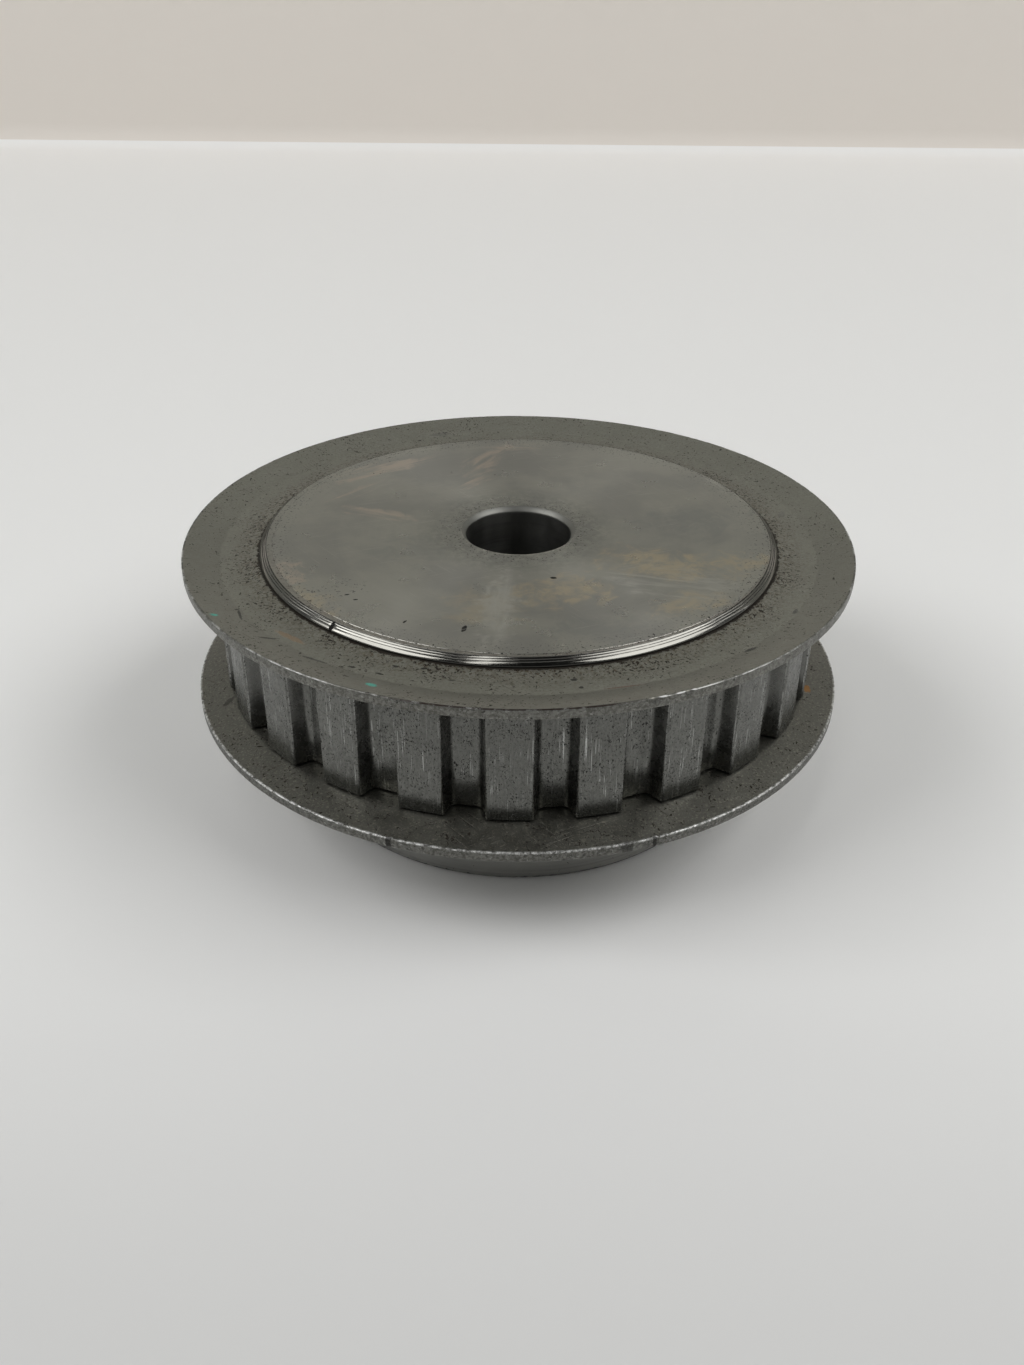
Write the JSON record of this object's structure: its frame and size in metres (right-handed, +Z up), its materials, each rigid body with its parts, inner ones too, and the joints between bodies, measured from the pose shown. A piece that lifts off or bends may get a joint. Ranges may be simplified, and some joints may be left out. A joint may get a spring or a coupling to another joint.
{
  "type": "timing belt pulley",
  "caption": "Toothed timing belt pulley in steel, with a dished flange on each side of the teeth, a flat turned front face, a plain through bore and a round hub at the back.",
  "frame": {"origin": "centre of the hub's end face on the bore axis, which is the bottom centre of the bounding box", "axes": "+Z up the bore axis from the hub's end to the front face; one tooth is centred on -Y"},
  "size_m": [0.0794, 0.0794, 0.0318],
  "materials": {
    "machined_steel": "bare machined steel: turned satin front face with faint heat-brown stains and a bright rolled lip, duller streaked and finely pitted tooth crowns and grooves",
    "flange_steel": "bare pressed sheet steel: dull grey, finely pitted, brown dirt towards the lip, rim edge worn bright"
  },
  "bodies": {
    "root": {"toothed_body": "machined_steel", "front_flange": "flange_steel", "hub_side_flange": "flange_steel"}
  },
  "joints": []
}
